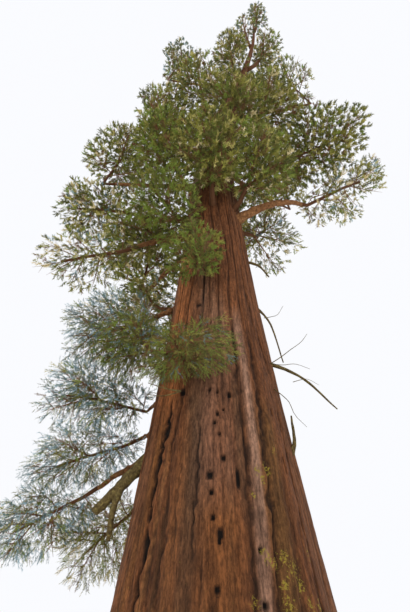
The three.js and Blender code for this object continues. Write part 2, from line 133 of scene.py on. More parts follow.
# Foliage masses: name, zone, (bearing, reach, height), (long, wide, deep), height of the
# root, and where they matter the limb's radius and the bearing of the root
MASSES = [
    ("spire_left", "crest", (190, 0.66, 33.4), (1.7, 2.2, 6.6), 30.6),
    ("spire_right", "crest", (352, 0.38, 36.9), (1.7, 2, 6.2), 33.8),
    ("leader_right", "crest", (2, 0.95, 30.2), (2.3, 2.8, 6.8), 27),
    ("leader_left", "crest", (196, 1.2, 28.6), (2.6, 2.9, 7), 25.2),
    ("left_crest", "crest", (176, 4.3, 29.1), (2.6, 3, 6.6), 24.8, 0.085),
    ("crown_left", "crown", (206, 2, 22.8), (3, 3.6, 5.4), 20),
    ("left_shoulder", "crown", (182, 2.95, 20.8), (3.6, 3.6, 5.8), 17.8, 0.09),
    ("crown_front", "crown", (290, 2.1, 18), (3, 3.9, 4.9), 15.8),
    ("crown_right", "right", (330, 2.5, 19.5), (3.3, 3.6, 5.2), 16.8),
    ("right_high", "crown", (354, 2.9, 24.2), (3, 3.3, 5.8), 20.8, 0.085),
    ("right_upper", "right", (352, 4.4, 17.1), (5.4, 3.8, 4.2), 14.6, 0.12),
    ("right_tip", "right", (4, 5.3, 15.5), (4.9, 3.3, 2.9), 12.4, 0.15, 332),
    ("right_low", "right", (34, 2.8, 13.8), (3.3, 3.4, 3.6), 13.2),
    ("front_right", "right", (318, 2.2, 14.6), (3, 3.3, 4.6), 12.6),
    ("front", "front", (266, 2.15, 14.4), (3, 3.6, 4.6), 12.4),
    ("front_left", "front", (221, 2.15, 12), (3, 2.9, 2.8), 11, 0, 232),
    ("left_high", "left", (180, 4.1, 17.2), (3.6, 3.5, 4.2), 15, 0.11),
    ("left_high_front", "front", (216, 2.5, 15.7), (3.1, 3.2, 4.6), 13.6),
    ("left_over", "left", (170, 4.9, 14.7), (3.5, 3.3, 3.4), 13.1, 0.12),
    ("left_long", "left", (184, 4.2, 10.7), (3.6, 2.8, 2.3), 12, 0.13),
    ("left_inner", "left", (174, 2.8, 12.6), (3, 3.1, 3.4), 12.2),
    ("left_behind", "left", (146, 3, 10.2), (3, 3, 3.2), 9.4),
    ("left_mid", "low", (186, 2.95, 7.7), (3, 2.6, 2.7), 8.7, 0.12),
    ("left_mid_front", "low", (208, 2.4, 6.6), (2.4, 2.3, 2.5), 7),
    ("left_low", "low", (186, 3.05, 5.6), (3.1, 2.3, 2.2), 5.4, 0.08, 226),
    ("left_foot", "foot", (179, 3.15, 4.3), (3, 2.3, 1.9), 5, 0.08),
    ("left_skirt", "foot", (176, 3.85, 3.1), (2.7, 2.3, 1.8), 4.5, 0.09, 170),
    ("left_skirt_back", "foot", (142, 3.7, 3.1), (2.9, 2.6, 2.3), 4.4, 0.09),
    ("drape", "front", (248, 2.25, 5.8), (1.6, 3.4, 1.4), 5.5, 0, 240),
    ("front_clump", "front", (250, 1.85, 9.4), (1.4, 2.1, 3), 8.3),
    ("back_low", "back", (106, 3.3, 9.8), (3.6, 3.8, 3.8), 8.6, 0.1),
    ("back_left", "back", (134, 3.9, 14.1), (4, 4.6, 4.8), 12.2, 0.12),
    ("back_mid", "back", (86, 3.2, 17.2), (3.8, 5, 5.8), 14.2, 0.11),
    ("back_right", "back", (42, 3.4, 20.2), (3.8, 4.8, 6.6), 16.8, 0.1),
    ("back_high", "back", (114, 2.8, 23.4), (3.6, 5.2, 7), 19.4, 0.09),
    ("back_crown", "crown", (92, 1.95, 28.2), (3.2, 4.2, 8), 24.4),
]
ZONES = ["crest", "crown", "right", "front", "left", "low", "foot", "back"]

# Dead limbs: steps of (distance from the axis, height, bearing) and end radii
DEAD_LIMBS = [
    ("dead_fork", [(1.3, 4.5, 186), (1.9, 3.84, 190), (2.26, 3.4, 191), (2.6, 3, 192)], (0.15, 0.085)),
    ("dead_fork", [(2.12, 3.58, 190), (2.25, 3.02, 195), (2.27, 2.47, 198)], (0.085, 0.045)),
    ("dead_stub", [(0.8, 10.7, 352), (1.4, 10.4, 352), (1.7, 9.9, 354)], (0.05, 0.022)),
    ("dead_switch", [(1, 8.9, 350), (1.5, 8.1, 350), (1.76, 6.7, 352)], (0.042, 0.015)),
    ("dead_arm", [(1.2, 6.7, 345), (2.1, 6.15, 347), (2.85, 5.25, 350)], (0.05, 0.017)),
    ("dead_splinter", [(1.5, 3.95, 345), (1.73, 4.4, 345), (1.76, 5.1, 345)], (0.07, 0.02)),
]

# Needle colours from deep shade to full light, as plain linear values
NEEDLES = {
    "needles_brown": (0.17, 0.085, 0.035),
    "needles_deep": (0.08, 0.09, 0.02),
    "needles_dark": (0.15, 0.16, 0.032),
    "needles_olive": (0.27, 0.26, 0.05),
    "needles_fresh": (0.2, 0.265, 0.042),
    "needles_yellow": (0.48, 0.43, 0.14),
    "needles_straw": (0.66, 0.56, 0.32),
    "needles_blue": (0.12, 0.2, 0.205),
    "needles_mist": (0.26, 0.39, 0.45),
}
TINTS = list(NEEDLES)

# Share of each tint in the sprays of a mass, in the order above
MIXES = {
    "inner": (0.06, 0.19, 0.25, 0.3, 0.12, 0.08, 0, 0, 0),
    "green": (0.05, 0.15, 0.23, 0.28, 0.14, 0.11, 0.04, 0, 0),
    "near": (0.03, 0.16, 0.26, 0.17, 0.38, 0, 0, 0, 0),
    "crest": (0.06, 0.16, 0.26, 0.2, 0.1, 0.13, 0.09, 0, 0),
    "peak": (0.04, 0.26, 0.27, 0.1, 0.07, 0.03, 0.01, 0.17, 0.05),
    "dome": (0.05, 0.2, 0.28, 0.27, 0.1, 0.08, 0.02, 0, 0),
    "lit": (0.05, 0.14, 0.22, 0.2, 0.1, 0.16, 0.13, 0, 0),
    "edge": (0.04, 0.14, 0.22, 0.2, 0.1, 0.12, 0.1, 0.05, 0.03),
    "blue": (0.03, 0.1, 0.15, 0.07, 0.06, 0.02, 0.01, 0.35, 0.21),
    "haze": (0.04, 0.22, 0.26, 0.12, 0.18, 0.02, 0, 0.16, 0),
    "drape": (0.07, 0.24, 0.3, 0.17, 0.18, 0, 0, 0.04, 0),
}

# Masses dressed in each mix; the others are green, or inner at the back
MIX_NAMES = {
    "near": "left_high_front front_left front_clump",
    "crest": "leader_left leader_right",
    "peak": "spire_left spire_right left_crest",
    "dome": "right_upper right_high",
    "lit": "left_skirt_back",
    "edge": "left_long left_over left_behind right_tip right_low",
    "blue": "left_mid left_low left_foot left_skirt",
    "haze": "left_mid_front",
    "drape": "drape",
}
MASS_MIX = {name: mix for mix, names in MIX_NAMES.items() for name in names.split()}

DEGREE = math.pi / 180


def seeded(seed):
    """A repeatable stream of numbers from 0 to 1."""
    state = [seed]

    def draw():
        state[0] = (state[0] * 1664525 + 1013904223) % 4294967296
        return state[0] / 4294967296

    return draw


def vec(*values):
    return np.array(values, dtype=float)


def unit(v):
    return v / np.linalg.norm(v)


def arrays(rows):
    """One array for each column of some rows."""
    return [np.array(values) for values in zip(*rows)]


def ease(t):
    """Smooth step from 0 to 1."""
    return t * t * (3 - 2 * t)


def limit(value):
    return np.clip(value, 0, 1)


def units(rows):
    return rows / np.maximum(np.linalg.norm(rows, axis=1, keepdims=True), 1e-9)


BOX_LOW, BOX_HIGH = (vec(*corner) for corner in cad_box)


# Trunk line and size at a height

def sway_at(z):
    t = limit((np.asarray(z, dtype=float) - SWAY_START) / (SWAY_END - SWAY_START))
    return SWAY * (1 - np.cos(math.pi * t)) / 2


def axis_at(z):
    return vec(sway_at(z), 0, z)


def trunk_radius(z):
    z = np.asarray(z, dtype=float)
    t = limit((z - TOP_SLIM_FROM) / (TOP_SLIM_TO - TOP_SLIM_FROM))
    slim = 1 - TOP_SLIM * ease(t)
    taper = TAPER_RADIUS * slim * np.maximum(1 - z / HEIGHT, 0) ** TAPER_POWER
    swell = BOLE_SWELL * np.exp(-((z / BOLE_SWELL_HEIGHT) ** 1.5))
    return taper + swell + FOOT_FLARE * np.exp(-z / FOOT_FLARE_HEIGHT)


def flute(z, angle):
    wave = np.cos(FLUTES * angle + 0.6 * np.sin(angle) + z / 6)
    return 1 + FLUTE_DEPTH * np.exp(-z / 9) * (wave - 0.4)


def outward(bearing):
    return vec(math.cos(bearing * DEGREE), math.sin(bearing * DEGREE), 0)


def bezier(a, b, c, t):
    return a * (1 - t) ** 2 + b * 2 * t * (1 - t) + c * t * t


def catmull(points, t):
    """Point on a centripetal curve through a few points."""
    p = [np.asarray(q, dtype=float) for q in points]
    x = t * (len(p) - 1)
    i = min(int(x), len(p) - 2)
    s = x - i
    p0 = p[i - 1] if i > 0 else 2 * p[0] - p[1]
    p3 = p[i + 2] if i + 2 < len(p) else 2 * p[-1] - p[-2]
    d0 = max(np.linalg.norm(p[i] - p0) ** 0.5, 1e-4)
    d1 = max(np.linalg.norm(p[i + 1] - p[i]) ** 0.5, 1e-4)
    d2 = max(np.linalg.norm(p3 - p[i + 1]) ** 0.5, 1e-4)
    m1 = ((p[i] - p0) / d0 - (p[i + 1] - p0) / (d0 + d1) + (p[i + 1] - p[i]) / d1) * d1
    m2 = ((p[i + 1] - p[i]) / d1 - (p3 - p[i]) / (d1 + d2) + (p3 - p[i + 1]) / d2) * d1
    a = 2 * p[i] - 2 * p[i + 1] + m1 + m2
    b = -3 * p[i] + 3 * p[i + 1] - 2 * m1 - m2
    return a * s ** 3 + b * s ** 2 + m1 * s + p[i]


def run_radii(pieces, start, end, collar):
    shares = [i / pieces for i in range(pieces + 1)]
    return [start + (end - start) * t + collar * start * (1 - t) ** 6 for t in shares]


# Masses, boughs, stems and dead limbs

class Mass:
    """A foliage mass with its own space, its root, its bough if it has one, and its stem."""

    def __init__(self, number, name, zone, at, size, root_height, base=0, root_bearing=None):
        self.number, self.name, self.zone, self.base = number, name, zone, base
        bearing, reach, height = at
        self.out = outward(bearing)
        self.centre = axis_at(height) + self.out * reach
        self.root_out = outward(bearing if root_bearing is None else root_bearing)
        self.root = axis_at(root_height) + self.root_out * 0.7 * float(trunk_radius(root_height))
        self.upright = size[2] > size[0]
        run = self.centre - self.root
        rise = min(max(math.atan2(run[2], math.hypot(run[0], run[1])), -0.5), 0.6)
        tilt = 0 if self.upright else rise
        up = self.out * -math.sin(tilt) + vec(0, 0, math.cos(tilt))
        flat = self.out * math.cos(tilt) + vec(0, 0, math.sin(tilt))
        side = vec(-self.out[1], self.out[0], 0)
        half = [s / 2 for s in size]
        if self.upright:
            self.axes = np.array([up, side, flat])
            self.half = vec(half[2], half[1], half[0])
        else:
            self.axes = np.array([flat, side, up])
            self.half = vec(*half)
        self.grow = self.axes[0]
        self.bough = None
        if self.base:
            self.tip_radius = max(0.55 * self.base, 0.045)
            self.bough = self.bough_line()
        self.stem = self.stem_line()

    def bough_line(self):
        entry = self.centre - self.grow * 0.92 * self.half[0]
        reach = np.linalg.norm(entry - self.root)
        lead = self.root + self.root_out * 0.5 * reach
        lead[2] += 0.05 * reach if self.upright else 0.25 * (entry[2] - self.root[2])
        self.bough_curve = (self.root, lead, entry)
        points = [bezier(self.root, lead, entry, i / 5) for i in range(6)]
        return points, run_radii(5, self.base, self.tip_radius, 0.6)

    def stem_line(self):
        end = self.centre + self.grow * (0.6 if self.upright else 0.45) * self.half[0]
        if self.bough:
            line = self.bough[0]
            heading = unit(line[-1] - line[-2])
            start = line[-1] + heading * GAP
            second = start + heading * 0.25 * self.half[0]
            radii = [share * self.tip_radius for share in (1, 0.85, 0.7, 0.55)]
            return [start, second, self.centre, end], radii
        thick = 0.007 * self.half.sum() + 0.012
        lead = self.centre - self.grow * 0.6 * self.half[0]
        lead = lead + (self.root - lead) * 0.2
        points = [bezier(self.root, lead, end, i / 4) for i in range(5)]
        return points, run_radii(4, 2 * thick, 0.8 * thick, 0.3)

    def edge_from(self, point, heading):
        """Far edge of the mass from a point along a heading."""
        p = self.axes @ (point - self.centre)
        d = self.axes @ heading
        square = self.half ** 2
        a = (d * d / square).sum()
        b = (2 * p * d / square).sum()
        c = (p * p / square).sum() - 1
        inside = b * b - 4 * a * c
        return (-b + math.sqrt(inside)) / (2 * a) if inside > 0 else 0


masses = [Mass(number, *row) for number, row in enumerate(MASSES)]
CENTRES, AXES, HALVES = arrays((m.centre, m.axes, m.half) for m in masses)


def spreads(points):
    """How far each point lies from the middle of each mass, where 1 is its edge."""
    off = np.asarray(points)[:, None, :] - CENTRES[None]
    along = np.einsum("kmi,mai->kma", off, AXES) / HALVES
    return np.linalg.norm(along, axis=2)


def own_and_next(mass, points):
    """How far points lie from the middle of a mass and from that of the nearest other."""
    far = spreads(points)
    own = far[:, mass.number].copy()
    far[:, mass.number] = np.inf
    return own, far.min(axis=1)


def in_own_space(mass, points):
    own, other = own_and_next(mass, points)
    return bool((own <= 1).all() and (other >= own + SPACE_MARGIN).all())


limbs = []


def add_limb(points, radii, owner):
    """Keeps the straight pieces of a limb, which the twigs of other masses stay clear of."""
    for i in range(len(points) - 1):
        limbs.append((points[i], points[i + 1], max(radii[i], radii[i + 1]), owner))


heights = [TRUNK_TOP * i / 60 for i in range(61)]
add_limb(
    [axis_at(z) for z in heights],
    [float(trunk_radius(z)) * (1 + FLUTE_DEPTH * math.exp(-z / 9)) for z in heights],
    "trunk",
)
for mass in masses:
    if mass.bough:
        add_limb(*mass.bough, "bough")
for mass in masses:
    add_limb(*mass.stem, mass.name)


def dead_points(steps, pieces):
    places = [axis_at(z) + outward(b) * r for r, z, b in steps]
    return [catmull(places, i / pieces) for i in range(pieces + 1)]


for name, steps, ends in DEAD_LIMBS:
    add_limb(dead_points(steps, 5), run_radii(5, *ends, 0.2), name)

LIMB_STARTS, LIMB_ENDS, LIMB_RADII, LIMB_OWNERS = arrays(limbs)


def piece_gaps(a, b, c, d):
    """Distances from one straight piece to many."""
    u, v, w = b - a, d - c, a - c
    uu = u @ u
    uv, uw = v @ u, w @ u
    vv, vw = (v * v).sum(1), (v * w).sum(1)
    across = uu * vv - uv * uv
    apart = across > 1e-6 * uu * vv
    s = limit(np.where(apart, (uv * vw - vv * uw) / np.where(apart, across, 1), 0))
    t = limit((uv * s + vw) / vv)
    s = limit((uv * t - uw) / uu)
    return np.linalg.norm(w + s[:, None] * u - t[:, None] * v, axis=1)


class Twig:
    """A leafy twig that widens to two rings and closes at its tip."""

    def __init__(self, root, along, face, length, girth):
        self.root, self.along, self.face = root, along, face
        self.length, self.girth = length, girth

    def spot(self, share):
        return self.root + self.along * share * self.length

    def rim(self):
        across = np.cross(self.face, self.along)
        points = []
        for share, size, turn in ((0.5, 1, 0), (0.76, 0.7, math.pi / 3)):
            for i in range(3):
                angle = turn + i * math.tau / 3
                radius = size * self.girth
                spot = self.spot(share) + across * radius * math.cos(angle)
                points.append(spot + self.face * radius * math.sin(angle))
        points.append(self.spot(1))
        return points


def fits(twig, mass, others, crowding):
    if not in_own_space(mass, twig.rim()):
        return False
    neck, waist, brow, tip = (twig.spot(s) for s in (0.25, 0.45, 0.75, 1))
    other = LIMB_OWNERS != mass.name
    a, b, r = LIMB_STARTS[other], LIMB_ENDS[other], LIMB_RADII[other]
    spans = ((twig.root, neck, 0.4), (neck, waist, 1), (waist, brow, 0.9), (brow, tip, 0.4))
    for start, end, thick in spans:
        if (piece_gaps(start, end, a, b) < r + thick * twig.girth + LIMB_CLEARANCE).any():
            return False
    if others:
        starts, ends, girths = arrays((o.spot(0.3), o.spot(0.85), o.girth) for o in others)
        if (piece_gaps(waist, brow, starts, ends) <= crowding * (twig.girth + girths)).any():
            return False
    return True


def face_for(heading, roll):
    level = np.cross(vec(0, 0, 1), heading)
    if np.linalg.norm(level) < 0.05:
        level = vec(1, 0, 0)
    level = unit(level)
    lift = unit(np.cross(heading, level))
    return unit(lift * math.cos(roll) + level * math.sin(roll))


def fit_twig(start, heading, radius, roll, mass, others, sizes=TWIG_SIZES, crowding=CROWDING):
    """The largest leafy twig along a heading that keeps to its own space."""
    root = start - heading * 0.5 * radius
    edge = mass.edge_from(root, heading) * 0.995
    for size, slim in sizes:
        length = min(edge, mass.span) * size
        girth = min(0.31 * length, 0.26 * mass.span) * slim
        if length <= 0.05:
            continue
        twig = Twig(root, heading, face_for(heading, roll), length, girth)
        if fits(twig, mass, others, crowding):
            return twig
    return None


def stem_point(points, t):
    x = t * (len(points) - 1)
    i = min(int(x), len(points) - 2)
    return points[i] + (points[i + 1] - points[i]) * (x - i)


def grow_mass(mass):
    """Main leafy twigs of a mass, branching from its stem."""
    draw = seeded(1000 + 37 * mass.number)
    size = (8 * mass.half.prod()) ** (1 / 3)
    mass.span = PLUME_SHARE * size
    count = math.floor(TWIGS_LEAST + TWIGS_MORE * min(size, 3.2) + 0.5)
    points, thick = mass.stem
    grown = []
    turn = draw() * math.tau
    first = 0.2 if mass.bough else 0.4
    for i in range(count):
        share = i / (count - 1)
        t = first + (0.94 - first) * share
        angle = turn + i * GOLDEN_ANGLE + 0.5 * (draw() - 0.5)
        lean = 1.9 - 1.35 * share + 0.3 * (draw() - 0.5)
        roll = draw() * math.pi
        ways = vec(math.cos(lean), math.sin(lean) * math.cos(angle), math.sin(lean) * math.sin(angle))
        heading = unit((ways * mass.half) @ mass.axes)
        radius = 0.62 * (thick[0] + (thick[-1] - thick[0]) * t)
        twig = fit_twig(stem_point(points, t), heading, radius, roll, mass, grown)
        if twig:
            grown.append(twig)
    heading = unit(points[-1] - points[-2])
    radius = 0.8 * thick[-1]
    twig = fit_twig(points[-1] - heading * 2 * radius, heading, radius, 0.3, mass, grown)
    if twig:
        grown.append(twig)
    return grown


def grow_finer(mass, main):
    """Finer twigs that fork from the main ones into the space that they leave."""
    draw = seeded(9000 + 53 * mass.number)
    finer = []
    for i in range(FINE_TRIES):
        parent = main[i % len(main)]
        t = 0.18 + 0.55 * draw()
        turn = math.tau * draw()
        lean = 0.5 + 0.8 * draw()
        side = face_for(parent.along, turn)
        heading = unit(parent.along * math.cos(lean) + side * math.sin(lean))
        others = main[: i % len(main)] + main[i % len(main) + 1:] + finer
        twig = fit_twig(parent.spot(t), heading, 0.02, turn, mass, others, FINE_SIZES, FINE_CROWDING)
        if twig:
            finer.append(twig)
    return finer


# Meshes

def add_object(name, data):
    thing = bpy.data.objects.new(name, data)
    bpy.context.scene.collection.objects.link(thing)
    return thing


class Skin:
    """Points and faces gathered for one piece."""

    def __init__(self):
        self.points, self.faces, self.slots, self.count = [], [], [], 0

    def add(self, points, faces, slot=0):
        points = np.asarray(points, dtype=float)
        faces = np.asarray(faces, dtype=np.int64)
        self.points.append(points)
        self.faces.append(faces + self.count)
        self.slots.append(np.broadcast_to(slot, (len(faces),)))
        self.count += len(points)

    def build(self, name, materials, smooth):
        points = np.concatenate(self.points)
        width = self.faces[0].shape[1]
        faces = np.concatenate(self.faces)
        mesh = bpy.data.meshes.new(name)
        mesh.vertices.add(len(points))
        mesh.vertices.foreach_set("co", points.astype(np.float32).ravel())
        mesh.loops.add(faces.size)
        mesh.loops.foreach_set("vertex_index", faces.astype(np.int32).ravel())
        mesh.polygons.add(len(faces))
        mesh.polygons.foreach_set("loop_start", np.arange(0, faces.size, width, dtype=np.int32))
        mesh.polygons.foreach_set("material_index", np.concatenate(self.slots).astype(np.int32))
        mesh.polygons.foreach_set("use_smooth", np.full(len(faces), smooth))
        for material in materials:
            mesh.materials.append(material)
        mesh.update(calc_edges=True)
        mesh.validate()
        return add_object(name, mesh)


def ring_frames(points):
    """Side and lift directions along a row of points, without twist."""
    points = np.asarray(points)
    tangents = units(np.gradient(points, axis=0))
    side = vec(0, 0, 1) if abs(tangents[0][2]) < 0.9 else vec(1, 0, 0)
    sides, lifts = [], []
    for tangent in tangents:
        side = unit(side - tangent * (side @ tangent))
        sides.append(side)
        lifts.append(np.cross(tangent, side))
    return np.array(sides), np.array(lifts)


def ring_faces(rings, sides):
    """Triangles over a stack of rings, with a fan at each end to two points put last."""
    r, s = np.meshgrid(np.arange(rings - 1), np.arange(sides), indexing="ij")
    a = (r * sides + s).ravel()
    b = (r * sides + (s + 1) % sides).ravel()
    s = np.arange(sides)
    after = (s + 1) % sides
    base = rings * sides
    last = base - sides
    return np.concatenate([
        np.stack([a, b, b + sides], 1),
        np.stack([a, b + sides, a + sides], 1),
        np.stack([np.full(sides, base), after, s], 1),
        np.stack([np.full(sides, base + 1), last + s, last + after], 1),
    ])


def tube(skin, points, radii, sides, slot=0, relief=1):
    """A tapering limb of triangles, closed at both ends."""
    points = np.asarray(points, dtype=float)
    side, lift = ring_frames(points)
    angles = np.arange(sides) * math.tau / sides
    radii = np.asarray(radii, dtype=float)[:, None] * np.ones((1, sides)) * relief
    across = np.cos(angles)[None, :, None] * side[:, None, :]
    across = across + np.sin(angles)[None, :, None] * lift[:, None, :]
    ring = points[:, None, :] + radii[..., None] * across
    ends = np.stack([points[0], points[-1]])
    skin.add(np.concatenate([ring.reshape(-1, 3), ends]), ring_faces(len(points), sides), slot)


def ripple(seed, rows, columns, u, v):
    """Smooth noise from 0 to 1 that closes round the trunk, over u from 0 to 1."""
    table = np.random.RandomState(seed).rand(rows, columns)
    x = (u % 1) * columns
    y = v % rows
    i, j = np.floor(x).astype(int), np.floor(y).astype(int)
    fx, fy = ease(x - i), ease(y - j)
    i0, i1, j0, j1 = i % columns, (i + 1) % columns, j % rows, (j + 1) % rows
    low = table[j0, i0] * (1 - fx) + table[j0, i1] * fx
    high = table[j1, i0] * (1 - fx) + table[j1, i1] * fx
    return low * (1 - fy) + high * fy


# Materials

class Surface:
    """A material with its nodes and shader."""

    def __init__(self, name):
        self.material = bpy.data.materials.new(name)
        self.material.use_nodes = True
        self.nodes = self.material.node_tree.nodes
        self.shader = self.nodes["Principled BSDF"]

    def give(self, node, inputs):
        """Sets inputs of a node to plain values, or links them to other nodes' outputs."""
        for name, value in inputs.items():
            if isinstance(value, bpy.types.NodeSocket):
                self.material.node_tree.links.new(value, node.inputs[name])
            else:
                node.inputs[name].default_value = value

    def add(self, kind, inputs, output=0, **traits):
        node = self.nodes.new("ShaderNode" + kind)
        for trait, value in traits.items():
            setattr(node, trait, value)
        self.give(node, inputs)
        return node.outputs[output]

    def noise(self, place, scale, detail, roughness, distortion=0.0):
        return self.add("TexNoise", {
            "Vector": place, "Scale": scale, "Detail": detail,
            "Roughness": roughness, "Distortion": distortion,
        }, "Fac")

    def remap(self, value, low, high, new_low, new_high):
        return self.add("MapRange", {
            "Value": value, "From Min": low, "From Max": high, "To Min": new_low, "To Max": new_high,
        }, "Result")

    def maths(self, operation, a, b):
        return self.add("Math", {0: a, 1: b}, operation=operation)

    def blend(self, kind, share, a, b):
        return self.add("Mix", {0: share, 6: a, 7: b}, 2, data_type="RGBA", blend_type=kind)

    def ramp(self, share, stops):
        colours = self.add("ValToRGB", {"Fac": share}, "Color")
        elements = colours.node.color_ramp.elements
        for element, (position, colour) in zip(elements, (stops[0], stops[-1])):
            element.position = position
            element.color = (*colour, 1)
        for position, colour in stops[1:-1]:
            elements.new(position).color = (*colour, 1)
        return colours


def plain_material(name, colour, roughness=0.62, gloss=0.25):
    surface = Surface(name)
    surface.give(surface.shader, {
        "Base Color": (*colour, 1), "Roughness": roughness, "Specular IOR Level": gloss,
    })
    return surface.material


def bark_material(name, stops, stretch, bump, tone=None):
    """Fibrous, grainy bark with a matching bump, and lichen where the tone's alpha asks for it."""
    surface = Surface(name)
    place = surface.add("TexCoord", {}, "Object")
    drawn = surface.add("Mapping", {"Vector": place, "Scale": stretch}, "Vector")
    fibres = surface.noise(drawn, 9, 8, 0.68, 0.4)
    flat = surface.add("Mapping", {"Vector": place, "Scale": (1, 1, 0.45)}, "Vector")
    grain = surface.noise(flat, 24, 5, 0.7)
    speck = surface.remap(grain, 0.32, 0.68, 0.6, 1.4)
    colour = surface.blend("MULTIPLY", 1.0, surface.ramp(fibres, stops), speck)
    if tone:
        painted = surface.add("Attribute", {}, "Color", attribute_name=tone)
        colour = surface.blend("MULTIPLY", 1.0, painted, colour)
        dots = surface.noise(place, 24, 4, 0.75)
        mask = surface.maths("MULTIPLY", painted.node.outputs["Alpha"], 0.22)
        cover = surface.remap(surface.maths("ADD", dots, mask), 0.68, 0.74, 0, 0.9)
        colour = surface.blend("MIX", cover, colour, (*LICHEN, 1))
    height = surface.maths("ADD", fibres, surface.maths("MULTIPLY", grain, 0.45))
    strength, distance = bump
    relief = {"Strength": strength, "Distance": distance, "Height": height}
    surface.give(surface.shader, {
        "Base Color": colour,
        "Roughness": surface.remap(fibres, 0, 1, 0.98, 0.8),
        "Specular IOR Level": 0.2,
        "Normal": surface.add("Bump", relief, "Normal"),
    })
    return surface.material


# Trunk with the bark's relief

# Lower and upper part: columns, and heights with the rows up to each
LOWER_TRUNK = (400, [(0, 0), (6, 130), (13.9, 80)])
UPPER_TRUNK = (200, [(13.8, 0), (26, 80), (TRUNK_TOP, 60)])
FRONT_SHARE = 0.38
RAY_STEPS = np.arange(4, 40, 0.02)

# Furrows round the trunk, and sizes of holes and lichen spots
LARGE_FURROWS = 22
MIDDLE_FURROWS = 54
SMALL_FURROWS = 118
HOLE_WIDTH = 0.042
HOLE_HEIGHT = 0.07
HOLE_DEPTH = 0.07
LICHEN_WIDTH = 0.09
LICHEN_HEIGHT = 0.13

# Bark colours in linear values; the furrow and hole colours are painted shade in furrows and holes
BARK_FURROW_SHADE = vec(0.018, 0.008, 0.004)
BARK_HOLE_SHADE = vec(0.005, 0.003, 0.002)
BARK_RED = vec(0.12, 0.043, 0.015)
BARK_GREY = vec(0.17, 0.082, 0.044)
LICHEN = (0.25, 0.19, 0.025)

# Furrows seen in the picture: points in its pixels, width and depth in metres, and painted shade
FURROWS = [
    ([(129, 612), (134, 585), (142, 548), (149, 506), (155, 470), (161, 442), (166, 421)], 0.038, 0.1, 2),
    ([(151, 612), (154, 573), (160, 542), (164, 506), (167, 470), (170, 442), (175, 421),
      (181, 400)],
     0.045, 0.05, 0.75),
    ([(181, 612), (184, 573), (187, 542), (189, 512), (190, 470), (193, 430), (196, 400)],
     0.13, 0.04, 0.45),
    ([(193, 540), (194, 520), (197, 480), (199, 430)], 0.035, 0.035, 0.95),
    ([(258, 612), (255, 551), (252, 518), (249, 482), (246, 445), (240, 391), (237, 361),
      (233, 330)],
     0.07, 0.06, 0.85),
    ([(284, 612), (278, 551), (273, 512), (267, 470), (263, 436), (260, 406), (255, 376),
      (251, 345)],
     0.06, 0.07, 0.9),
    ([(303, 612), (298, 575), (292, 535), (285, 500)], 0.06, 0.035, 0.55),
    ([(323, 612), (313, 567), (305, 530), (298, 494), (290, 458), (283, 427), (278, 400),
      (270, 370), (260, 339)],
     0.042, 0.08, 1.7),
    ([(212, 612), (210, 585), (209, 570)], 0.03, 0.02, 0.5),
    ([(236, 600), (234, 560), (232, 525)], 0.03, 0.02, 0.45),
    ([(140, 612), (145, 575), (152, 535)], 0.05, 0.04, 0.8),
    ([(172, 530), (176, 495), (180, 462)], 0.03, 0.03, 0.6),
]

# Broad bands of colour along the bark: points in the picture, width, colour and strength
BANDS = [
    ([(271, 612), (266, 560), (260, 500), (254, 440), (248, 395), (243, 360), (238, 330)],
     0.12, (0.27, 0.155, 0.105), 0.8),
    # Painted shade in a broad flute
    ([(181, 612), (187, 542), (190, 470), (196, 400)], 0.17, (0.065, 0.04, 0.02), 0.6),
    # Painted shade in a broad flute on the right
    ([(294, 612), (285, 550), (278, 510), (272, 470), (266, 430)], 0.22, (0.085, 0.047, 0.013), 0.75),
    ([(120, 612), (130, 570), (140, 530), (150, 480), (160, 430)], 0.12, (0.12, 0.047, 0.012), 0.7),
    ([(160, 612), (168, 560), (176, 500), (184, 450)], 0.14, (0.16, 0.062, 0.02), 0.6),
    ([(134, 612), (142, 575), (150, 540), (157, 500), (163, 470)], 0.05, (0.2, 0.085, 0.03), 0.8),
    ([(146, 612), (152, 573), (158, 535), (164, 500)], 0.05, (0.075, 0.035, 0.014), 0.7),
    ([(203, 612), (203, 560), (204, 510), (205, 460)], 0.06, (0.17, 0.07, 0.03), 0.6),
    ([(232, 612), (231, 560), (230, 510), (228, 460)], 0.07, (0.11, 0.045, 0.016), 0.6),
    ([(218, 612), (217, 560), (216, 520)], 0.4, (0.145, 0.052, 0.014), 0.7),
    ([(216, 470), (216, 430), (216, 380), (214, 330)], 0.4, (0.155, 0.072, 0.042), 0.7),
    # Painted shade beside the light ridge
    ([(245, 480), (240, 430), (236, 390)], 0.1, (0.08, 0.045, 0.025), 0.5),
    # Painted sunlight on the trunk's left side, high up
    ([(168, 390), (176, 340), (182, 300), (187, 262), (194, 230)], 0.38, (0.33, 0.115, 0.036), 0.9),
]

# Holes and knots: point in the picture, and shares of a hole's width and height
HOLES = [
    (209.8, 474.8, 1.3, 1.1), (238.9, 477.3, 1, 2.8), (223.5, 457.6, 1, 0.9), (229.5, 393.9, 1, 0.9),
    (220.5, 533.3, 1.2, 1.2), (217.4, 590.9, 1.1, 0.8), (212.9, 518.2, 0.9, 0.7), (217.4, 412.7, 0.8, 0.7),
    (214.4, 422.1, 0.7, 0.6), (219.5, 433.3, 0.7, 0.6), (217.4, 390.9, 0.6, 0.5), (211.4, 492.4, 0.9, 0.7),
    (209.8, 389.4, 0.6, 0.5), (223.5, 408.5, 0.6, 0.5), (262.9, 549, 0.8, 0.8), (284, 465, 0.8, 2.4),
    (271.7, 412.7, 0.7, 1), (269, 606, 1, 0.8), (210.8, 320.6, 0.7, 0.6), (219.5, 541, 0.7, 0.9),
    (181, 391, 1.7, 1.3), (198.6, 304.5, 1.7, 1.3),
]

